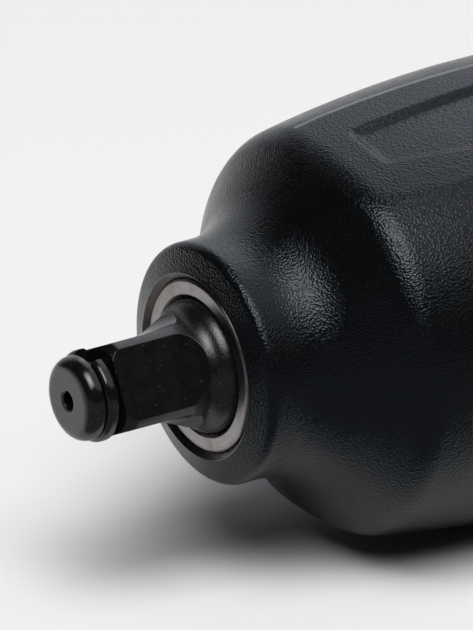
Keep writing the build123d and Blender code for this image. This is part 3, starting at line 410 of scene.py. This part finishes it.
def turned_steel():
    """Bright turned steel with brown grime at the anvil's journal."""
    paint = Paint("turned_steel", (0.3, 0.29, 0.28), 0.3, 1.0)
    paint.use("Normal", paint.bump(paint.turned_rings(0.1), 0.002, below=paint.soft_edges(0.08)))
    tool_marks = paint.between(paint.turned_rings(0.35), 0.3, 0.75, 0, 0.35)
    stains = paint.between(paint.noise(5, 4, 0.6), 0.45, 0.75, 0, 0.7)
    journal = paint.between(paint.radius(), (JOURNAL_R + 0.8) * MM, (JOURNAL_R + 0.3) * MM)
    grime = paint.math("MAXIMUM", paint.math("MAXIMUM", tool_marks, stains), journal)
    paint.use("Base Color", paint.colours(grime, (0.3, 0.29, 0.285), (0.1, 0.08, 0.07)))
    paint.use("Roughness", paint.between(paint.noise(1.2, 3), 0.3, 0.7, 0.26, 0.36))
    return paint.material


def machined_mouth():
    """The bare bevel inside the hammer case's mouth."""
    paint = Paint("machined_mouth", (0.07, 0.06, 0.055), 0.28, 0.8)
    paint.use("Normal", paint.bump(paint.turned_rings(0.1), 0.003))
    paint.use("Roughness", paint.between(paint.noise(0.8, 3), 0.3, 0.7, 0.2, 0.4))
    return paint.material


def bare_rim():
    """The thin edge of the mouth, where the coat is rubbed through."""
    paint = Paint("bare_rim", (0.2, 0.18, 0.165), 0.35, 1.0)
    rubbed = paint.between(paint.noise(4, 2), 0.3, 0.7)
    paint.use("Base Color", paint.colours(rubbed, (0.1, 0.092, 0.085), (0.26, 0.24, 0.22)))
    return paint.material


def plain_steel(name, colour, roughness):
    """A bare metal, darker and rougher where worn, with its edges softened."""
    paint = Paint(name, colour, roughness, 1.0)
    wear = paint.noise(1.5, 4, 0.6)
    dark = tuple(0.6 * part for part in colour)
    paint.use("Base Color", paint.colours(paint.between(wear, 0.35, 0.75), colour, dark))
    paint.use("Roughness", paint.between(wear, 0.3, 0.7, roughness * 0.8, roughness * 1.4))
    paint.use("Normal", paint.bump(paint.noise(0.2, 3), 0.003, below=paint.soft_edges(0.15)))
    return paint.material


def composite():
    """Black glass-filled composite with a spark-eroded texture."""
    paint = Paint("composite", (0.012, 0.0125, 0.0135), 0.5)
    grain = paint.noise(0.3, 3, 0.6)
    paint.use("Normal", paint.bump(grain, 0.025, below=paint.soft_edges(0.7)))
    paint.use("Roughness", paint.between(paint.noise(8, 3), 0.3, 0.7, 0.42, 0.56))
    return paint.material


def rubber(name, colour):
    """Dull rubber, a little dusty."""
    paint = Paint(name, colour, 0.7)
    dust = paint.between(paint.noise(5, 5, 0.6), 0.45, 0.8)
    pale = tuple(part + 0.012 for part in colour)
    paint.use("Base Color", paint.colours(dust, colour, pale))
    paint.use("Roughness", paint.between(dust, 0, 1, 0.62, 0.8))
    paint.use("Normal", paint.bump(paint.noise(0.25, 3), 0.02))
    return paint.material


def fibre(name, colour):
    """Matted fibre with darker strands."""
    paint = Paint(name, colour, 0.9)
    strands = paint.noise(0.4, 5, 0.7)
    dark = tuple(0.5 * part for part in colour)
    paint.use("Base Color", paint.colours(strands, dark, colour))
    paint.use("Normal", paint.bump(strands, 0.05))
    return paint.material


# Hammer case


def case_outline():
    """The turned outside in s and r, from the mouth to the back flange, and its taper's start and circle."""
    slope = math.radians(NOSE_SLOPE)
    mouth_r = BORE_R + MOUTH_CHAMFER
    start = (MOUTH_RIM * math.tan(slope), mouth_r + MOUTH_RIM)
    fall_r = NOSE_R - NOSE_EDGE * (1 - math.sin(slope))
    fall = line(start, ((fall_r - mouth_r) * math.tan(slope), fall_r), steps=6)
    edge = arc(fall[-1], 90 - NOSE_SLOPE, 0, NOSE_EDGE, INWARD, steps=8)
    nose = line(edge[-1], (NOSE_LENGTH, NOSE_R), steps=4)
    neck = arc(nose[-1], 0, CONE_ANGLE, NECK_R, OUTWARD, steps=16)
    rise = math.radians(CONE_ANGLE)
    cone_end = (neck[-1][0] + CONE_LENGTH * math.cos(rise), neck[-1][1] + CONE_LENGTH * math.sin(rise))
    cone = line(neck[-1], cone_end, steps=16)
    shoulder = arc(cone[-1], CONE_ANGLE, TAPER_ANGLE, SHOULDER_ROUND, INWARD, steps=16)
    run = TAPER_END - shoulder[-1][0]
    lift = CASE_R - shoulder[-1][1]
    end_tilt = 2 * math.degrees(math.atan2(lift, run)) - TAPER_ANGLE
    taper_r = math.hypot(run, lift) / (2 * math.sin(math.radians(TAPER_ANGLE - end_tilt) / 2))
    taper = arc(shoulder[-1], TAPER_ANGLE, end_tilt, taper_r, INWARD, steps=100)
    tilt = math.radians(TAPER_ANGLE)
    middle = (taper[0][0] + taper_r * math.sin(tilt), taper[0][1] - taper_r * math.cos(tilt))
    walls = (FACET_END, EAR_START)
    steps = [wall + shift for wall in walls for shift in (-WALL_STEP, WALL_STEP)]
    plain = [row for row in np.arange(TAPER_END + 1, CASE_LENGTH + 1) if row not in walls]
    back = [(row, CASE_R) for row in sorted([TAPER_END + WALL_STEP, *plain, *steps])]
    points = fall + edge[1:] + nose[1:] + neck[1:] + cone[1:] + shoulder[1:] + taper[1:] + back
    return points, (taper[0][0], *middle, taper_r)


def facet_profile(s, taper):
    """The case's taper, with the rounded nose that the facets have in front of it."""
    start_s, middle_s, middle_r, taper_r = taper
    tilt = math.radians(TAPER_ANGLE)
    end = math.radians(TAPER_ANGLE + FACET_NOSE_TURN)
    bend = np.clip(math.sin(tilt) + (start_s - s) / FACET_NOSE_R, math.sin(tilt), math.sin(end))
    straight = np.maximum(start_s - s - FACET_NOSE_R * (math.sin(end) - math.sin(tilt)), 0)
    drop = FACET_NOSE_R * (math.cos(tilt) - np.sqrt(1 - bend ** 2)) + straight * math.tan(end)
    along = np.clip(s, start_s, TAPER_END)
    return middle_r + np.sqrt(taper_r ** 2 - (along - middle_s) ** 2) - drop


def facet_height(s, angle, taper):
    """The facet's radius at a place s and an angle from the tool's handle side."""
    base = facet_profile(s, taper)
    shift = math.tan(math.radians(FACET_SKEW)) * (s - FACET_START)
    lean = np.radians(angle - FACET_ANGLE) + shift / base
    set_off = FACET_BULGE + FACET_SINK
    return np.sqrt((base + FACET_BULGE) ** 2 - (set_off * np.sin(lean)) ** 2) - set_off * np.cos(lean)


def panel_sink(s, across):
    """How deep the panel is sunk at a place s and a distance across from the tool's middle plane."""
    share = (s - PANEL_FRONT) / (PANEL_BACK - PANEL_FRONT)
    near = PANEL_EDGE_FRONT * (1 - share) + PANEL_EDGE_BACK * share
    ends = np.minimum(s - PANEL_FRONT, PANEL_BACK - s)
    sides = np.minimum(across - PANEL_FAR_EDGE, near - across)
    inside = smooth_min(ends, sides, PANEL_CORNER)
    return PANEL_DEPTH * smooth_step(inside, -PANEL_WALL / 2, PANEL_WALL / 2)


def case_radius(s, turned, angle, taper):
    """The case's outside radius, with its facets, panels, bolt ears and head channels."""
    side = np.abs(angle)
    facet = facet_height(s, side, taper)
    blend = SOFT_BLEND + (SHARP_BLEND - SOFT_BLEND) * smooth_step(s, FACET_START, SOFT_END)
    cut = smooth_min(turned, facet, blend) - panel_sink(s, facet * np.cos(np.radians(side)))
    radius = np.where((s > FACET_FRONT) & (s < FACET_END), cut, turned)
    for ear in EAR_ANGLES:
        lean = np.radians(angle - ear)
        off = EAR_CIRCLE * np.sin(lean)
        near = np.cos(lean) > 0
        boss = EAR_CIRCLE * np.cos(lean) + np.sqrt(np.maximum(EAR_R ** 2 - off ** 2, 0))
        on_boss = near & (np.abs(off) < EAR_R) & (s > EAR_START)
        radius = np.where(on_boss, np.maximum(radius, boss), radius)
        pocket = EAR_CIRCLE * np.cos(lean) - np.sqrt(np.maximum(POCKET_R ** 2 - off ** 2, 0))
        in_pocket = near & (np.abs(off) < POCKET_R) & (s > CHANNEL_START) & (s < EAR_START)
        radius = np.where(in_pocket, np.minimum(radius, pocket), radius)
    return radius


def on_crease(s, turned, angle, taper):
    """Where the painted highlight line lies, along the far edge of a facet."""
    side = np.abs(angle)
    near = np.abs(facet_height(s, side, taper) - turned) < CREASE_REACH
    return near & (side > FACET_ANGLE) & (s > FACET_START) & (s < FACET_END)


def case_angles():
    """Columns round the case in degrees, close together on the facets and closest at their far edges."""
    facet = np.arange(FINE_FROM, FINEST_FROM, FINE_STEP)
    edge = np.arange(FINEST_FROM, FINEST_TO, FINEST_STEP)
    fine = np.concatenate([facet, edge])
    front = np.arange(-FINE_FROM, FINE_FROM, PLAIN_STEP)
    back = np.arange(FINEST_TO, 360 - FINEST_TO, PLAIN_STEP)
    return np.concatenate([-fine[::-1], front, fine, back])


def make_hammer_case():
    """The hammer case as one closed skin: outside from the mouth to the flange, then inside and back."""
    angles = case_angles()
    outside, taper = case_outline()
    mouth_r = BORE_R + MOUTH_CHAMFER
    inside = [
        (CASE_LENGTH, CAVITY_R),
        (CAVITY_FRONT + CAVITY_CHAMFER, CAVITY_R),
        (CAVITY_FRONT, CAVITY_R - CAVITY_CHAMFER),
        (CAVITY_FRONT, BORE_R),
        (MOUTH_CHAMFER, BORE_R),
        (MOUTH_RIM / 2, mouth_r - MOUTH_RIM / 2),
        (0, mouth_r + MOUTH_RIM / 2),
    ]
    wrapped = (angles + 180) % 360 - 180
    columns = len(angles)
    # Material slots; the last one carries the painted highlight along each facet's far edge
    coat, bare, rim, thin_film_and_glint = 0, 1, 2, 3
    rings = []
    slots = []
    for s, r in outside:
        place = (np.full_like(wrapped, s), np.full_like(wrapped, r), wrapped, taper)
        rings.append((s, case_radius(*place)))
        slots.extend(np.where(on_crease(*place), thin_film_and_glint, coat))
    for s, r in inside:
        rings.append((s, np.full_like(wrapped, r)))
    slots.extend([bare] * columns * (len(inside) - 2) + [rim] * columns * 2)
    turn = np.radians(angles - ROLL)
    points = []
    for s, radius in rings:
        x = np.full_like(turn, -s)
        points.extend(np.stack([x, radius * np.cos(turn), radius * np.sin(turn)], axis=1))
    faces = ring_faces(len(rings), columns, True)
    materials = [powder_coat(), machined_mouth(), bare_rim(), painted_glint_coat()]
    made = mesh_object("hammer_case_shell", points, faces, materials, slots, CASE_SHARP)
    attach(made, "housing")
    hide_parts("hammer_case")


# Rubber grip


def dimple_depth(along, around, pitch):
    """How deep the moulded dimples are, at distances along the handle and round it."""
    row = pitch * math.sqrt(3)
    nearest = np.full_like(along, row)
    for shift in (0, 0.5):
        x = ((around / pitch + shift) % 1 - 0.5) * pitch
        y = ((along / row + shift) % 1 - 0.5) * row
        nearest = np.minimum(nearest, np.hypot(x, y))
    length = GRIP_TO - GRIP_FROM
    band = smooth_step(along, PLAIN_BAND - BAND_FADE, PLAIN_BAND)
    band *= smooth_step(length - along, PLAIN_BAND - BAND_FADE, PLAIN_BAND)
    return DIMPLE_DEPTH * band * (1 - smooth_step(nearest, DIMPLE_R * DIMPLE_FLOOR, DIMPLE_R))


def sleeve_reaches(place, rows, turns):
    """How far the sleeve's outside lies from the handle's middle line, row by row and turn by turn."""
    mesh = frame["nodes"]["grip_sleeve"].data
    corners = [vertex.co / MM for vertex in mesh.vertices]
    tree = BVHTree.FromPolygons(corners, [tuple(face.vertices) for face in mesh.polygons])
    spin = place.to_3x3()
    reaches = np.zeros((len(rows), len(turns)))
    for i, q in enumerate(rows):
        middle = place @ Vector((GRIP_MIDDLE, q, 0))
        for j, turn in enumerate(turns):
            outward = spin @ Vector((math.cos(turn), 0, math.sin(turn)))
            gap = tree.ray_cast(middle + outward * PROBE_START, -outward)[3]
            reaches[i, j] = PROBE_START - gap
    return reaches


def handle_place():
    """The raked handle's own frame in millimetres: X forward, Y down along the handle."""
    tilt = Matrix.Rotation(-math.radians(ROLL), 4, "X")
    rake = Matrix.Rotation(math.radians(RAKE), 4, "Z")
    return tilt @ Matrix.Translation((HANDLE_X, 0, 0)) @ rake


def make_grip():
    """The rubber sleeve as one closed skin, with rows of dimples between its plain ends."""
    place = handle_place()
    rows = np.linspace(GRIP_FROM + GRIP_END_GAP, GRIP_TO - GRIP_END_GAP, GRIP_ROWS)
    turns = np.linspace(0, 2 * math.pi, GRIP_COLUMNS, endpoint=False)
    reaches = sleeve_reaches(place, rows, turns)
    middle_row = reaches[GRIP_ROWS // 2]
    outline = np.stack([middle_row * np.cos(turns), middle_row * np.sin(turns)], axis=1)
    steps = np.linalg.norm(np.roll(outline, -1, axis=0) - outline, axis=1)
    around = np.concatenate([[0], np.cumsum(steps)[:-1]])
    pitch = steps.sum() / round(steps.sum() / DIMPLE_PITCH)
    along = np.repeat((rows - GRIP_FROM)[:, None], GRIP_COLUMNS, axis=1)
    depth = dimple_depth(along, np.repeat(around[None, :], GRIP_ROWS, axis=0), pitch)
    inner_rows = [GRIP_ROWS - 1, 0]
    shells = list(zip(rows, reaches - depth))
    shells += [(rows[row], reaches[row] - GRIP_WALL) for row in inner_rows]
    points = []
    for q, reach in shells:
        for turn, distance in zip(turns, reach):
            local = Vector((GRIP_MIDDLE + distance * math.cos(turn), q, distance * math.sin(turn)))
            points.append(place @ local)
    faces = ring_faces(len(shells), GRIP_COLUMNS, True)
    black = rubber("grip_rubber", (0.014, 0.014, 0.0145))
    made = mesh_object("grip_skin", points, faces, [black], sharp=GRIP_SHARP)
    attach(made, "housing")
    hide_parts("grip_sleeve")


# Finishes of the CAD's own pieces


def paint_nodes():
    """Gives each piece the finish of its material slot."""
    by_slot = {
        "black_oxide": black_oxide(),
        "turned_steel": turned_steel(),
        "zinc_steel": plain_steel("zinc_steel", (0.42, 0.42, 0.43), 0.35),
        "hard_steel": plain_steel("hard_steel", (0.36, 0.35, 0.34), 0.28),
        "composite": composite(),
        "seal_rubber": rubber("seal_rubber", (0.012, 0.012, 0.012)),
        "gasket_fibre": fibre("gasket_fibre", (0.16, 0.15, 0.13)),
        "felt": fibre("felt", (0.33, 0.32, 0.3)),
        "cast_aluminium": plain_steel("cast_aluminium", (0.6, 0.6, 0.61), 0.4),
        "vane_composite": fibre("vane_composite", (0.24, 0.14, 0.08)),
        "brass": plain_steel("brass", (0.72, 0.54, 0.27), 0.3),
    }
    for part in frame["record"]["subparts"]:
        material = by_slot.get(part["material_slot"])
        if material is None:
            continue
        mesh = frame["nodes"][part["node"]].data
        mesh.materials.clear()
        mesh.materials.append(material)


# Springs that are pressed together when the trigger is pulled


def copy_spring(node, axis):
    """A copy of a spring, finish and all, and the ends of its reach along an axis."""
    made = bpy.data.objects.new(node + "_coil", frame["nodes"][node].data.copy())
    bpy.context.scene.collection.objects.link(made)
    reach = [vertex.co.dot(axis) for vertex in made.data.vertices]
    return made, min(reach), max(reach)


def make_trigger_spring():
    """It stands on the handle."""
    forward = handle_place().to_3x3() @ Vector((1, 0, 0))
    made, back, front = copy_spring("trigger_spring", forward)
    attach(made, "housing")
    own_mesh(made)
    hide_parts("trigger_spring")


def make_throttle_spring():
    """It stands on the handle's lower step."""
    down = handle_place().to_3x3() @ Vector((0, 1, 0))
    made, top, bottom = copy_spring("throttle_spring", down)
    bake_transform(made)
    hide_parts("throttle_spring")


# Studio

# The floor in millimetres
FLOOR_Z = -33.0
FLOOR_REACH = 4000
FLOOR_COLOUR = (0.854, 0.85, 0.848)
MATT = 0.9

# Where the key lights the floor most, how far that reaches and is at its full, in metres, and the colour
KEY_SPOT = (0.66, 0.94, FLOOR_Z * MM)
SPOT_REACH = 1.15
SPOT_MIDDLE = 0.25
SPOT_COLOUR = (0.666, 0.663, 0.661)

# The camera: its axes, its lens, its distance and the picture's middle in millimetres, its limits in metres
TO_CAMERA = Vector((0.508, 0.768, 0.391))
CAMERA_RIGHT = Vector((-0.8321, 0.5548, -0.0080))
CAMERA_UP = Vector((-0.2233, -0.3212, 0.9205))
CAMERA_LENS = 900.0
SENSOR = 36.0
PICTURE_HEIGHT = 630
PIXELS_PER_MM = 7.03
CAMERA_DISTANCE = PICTURE_HEIGHT * CAMERA_LENS / SENSOR / PIXELS_PER_MM
AIM_RIGHT = 5.35
AIM_UP = 7.47
CLIP_START = 0.01
CLIP_END = 20

# The dark card on the camera's side: where it starts and ends, and its height over the floor, in millimetres
FLAG_NEAR = 18
FLAG_FAR = 900
FLAG_LIFT = 0.1
FLAG_COLOUR = (0.172, 0.187, 0.215)

# Pale parts of the room: direction, cosine of the angle at the faded edge, the same where full, strength
BACKDROP = ((-0.51, -0.77, 0.1), 0.55, 0.95, 0.75)
TOP_PANEL = ((-0.62, -0.38, 0.69), 0.85, 0.97, 1.55)
DARK_ROOM = 0.005
ROOM_FILL = 0.4
ROOM_TINT = (0.93, 0.97, 1.03)

# Softboxes: direction, distance, length and width in metres, strength. The key has a brighter middle.
TO_KEY = (0.272, 0.389, 0.88)
SOFTBOXES = {
    "key": (TO_KEY, 3.0, 2.0, 2.2, 6.5),
    "key_middle": (TO_KEY, 2.9, 0.9, 0.9, 4.2),
    "side": ((-0.42, 0.42, 0.81), 3.0, 2.1, 2.9, 0.95),
}


def make_camera():
    """A long lens far away, which shows the tool almost without perspective."""
    data = bpy.data.cameras.new("camera")
    data.lens = CAMERA_LENS
    data.sensor_width = SENSOR
    data.clip_start = CLIP_START
    data.clip_end = CLIP_END
    camera = bpy.data.objects.new("camera", data)
    bpy.context.scene.collection.objects.link(camera)
    aim = (CAMERA_RIGHT * AIM_RIGHT + CAMERA_UP * AIM_UP) * MM
    turn = Matrix((CAMERA_RIGHT, CAMERA_UP, TO_CAMERA)).transposed().to_quaternion()
    camera.rotation_mode = "QUATERNION"
    camera.rotation_quaternion = turn
    camera.location = aim + TO_CAMERA * CAMERA_DISTANCE * MM
    bpy.context.scene.camera = camera


def make_floor():
    """A pale floor, toned down under the key so that it stays even and doesn't clip."""
    far = FLOOR_REACH
    corners = [(-far, -far, FLOOR_Z), (far, -far, FLOOR_Z), (far, far, FLOOR_Z), (-far, far, FLOOR_Z)]
    paint = Paint("floor", FLOOR_COLOUR, MATT)
    paint.set("Specular IOR Level", 0.1)
    gap = paint.add("ShaderNodeVectorMath", operation="DISTANCE")
    gap.inputs[1].default_value = KEY_SPOT
    paint.link(paint.place, gap.inputs[0])
    under_key = paint.between(gap.outputs["Value"], SPOT_REACH, SPOT_MIDDLE)
    paint.use("Base Color", paint.colours(under_key, FLOOR_COLOUR, SPOT_COLOUR))
    floor = mesh_object("floor", corners, [(0, 1, 2, 3)], [paint.material])


def make_flag():
    """A dark card laid on the floor in front of the tool, only for its reflection in the gloss."""
    ahead = Vector((TO_CAMERA.x, TO_CAMERA.y, 0)).normalized()
    side = ahead.cross(Vector((0, 0, 1)))
    corners = []
    for away, across in ((FLAG_NEAR, -1), (FLAG_NEAR, 1), (FLAG_FAR, 1), (FLAG_FAR, -1)):
        corner = ahead * away + side * across * FLAG_FAR
        corners.append((corner.x, corner.y, FLOOR_Z + FLAG_LIFT))
    paint = Paint("flag", FLAG_COLOUR, MATT)
    flag = mesh_object("flag", corners, [(0, 1, 2, 3)], [paint.material])
    flag.visible_camera = False
    flag.visible_diffuse = False
    flag.visible_shadow = False


def make_light(name, direction, distance, length, width, strength):
    """A softbox that faces the tool from a direction, with its length laid along the drive axis."""
    data = bpy.data.lights.new(name, "AREA")
    data.shape = "RECTANGLE"
    data.size = length
    data.size_y = width
    data.energy = strength * math.pi * length * width
    light = bpy.data.objects.new(name, data)
    bpy.context.scene.collection.objects.link(light)
    away = Vector(direction).normalized()
    axis = Vector((1, 0, 0))
    side = (axis - away * axis.dot(away)).normalized()
    light.rotation_mode = "QUATERNION"
    light.rotation_quaternion = Matrix((side, away.cross(side), away)).transposed().to_quaternion()
    light.location = away * distance
    light.visible_camera = False


def make_world():
    """A dark room with a pale backdrop behind the tool and a pale panel above it."""
    world = bpy.data.worlds.new("studio")
    bpy.context.scene.world = world
    world.use_nodes = True
    tree = world.node_tree
    place = tree.nodes.new("ShaderNodeTexCoord")
    level = tree.nodes.new("ShaderNodeMath")
    level.operation = "ADD"
    for socket, (direction, edge, full, strength) in zip(level.inputs, (BACKDROP, TOP_PANEL)):
        dot = tree.nodes.new("ShaderNodeVectorMath")
        dot.operation = "DOT_PRODUCT"
        dot.inputs[1].default_value = Vector(direction).normalized()
        tree.links.new(place.outputs["Generated"], dot.inputs[0])
        share = tree.nodes.new("ShaderNodeMapRange")
        share.interpolation_type = "SMOOTHSTEP"
        share.inputs["From Min"].default_value = edge
        share.inputs["From Max"].default_value = full
        share.inputs["To Min"].default_value = DARK_ROOM
        share.inputs["To Max"].default_value = strength
        tree.links.new(dot.outputs["Value"], share.inputs["Value"])
        tree.links.new(share.outputs["Result"], socket)
    rays = tree.nodes.new("ShaderNodeLightPath")
    seen = tree.nodes.new("ShaderNodeMapRange")
    seen.inputs["To Min"].default_value = ROOM_FILL
    tree.links.new(rays.outputs["Is Glossy Ray"], seen.inputs["Value"])
    shown = tree.nodes.new("ShaderNodeMath")
    shown.operation = "MULTIPLY"
    tree.links.new(level.outputs["Value"], shown.inputs[0])
    tree.links.new(seen.outputs["Result"], shown.inputs[1])
    background = tree.nodes["Background"]
    tree.links.new(shown.outputs["Value"], background.inputs["Strength"])
    background.inputs["Color"].default_value = (*ROOM_TINT, 1)


make_hammer_case()
make_grip()
paint_nodes()
make_trigger_spring()
make_throttle_spring()
make_camera()
make_floor()
make_flag()
make_world()
for name, softbox in SOFTBOXES.items():
    make_light(name, *softbox)
bpy.context.scene.view_settings.view_transform = "Standard"
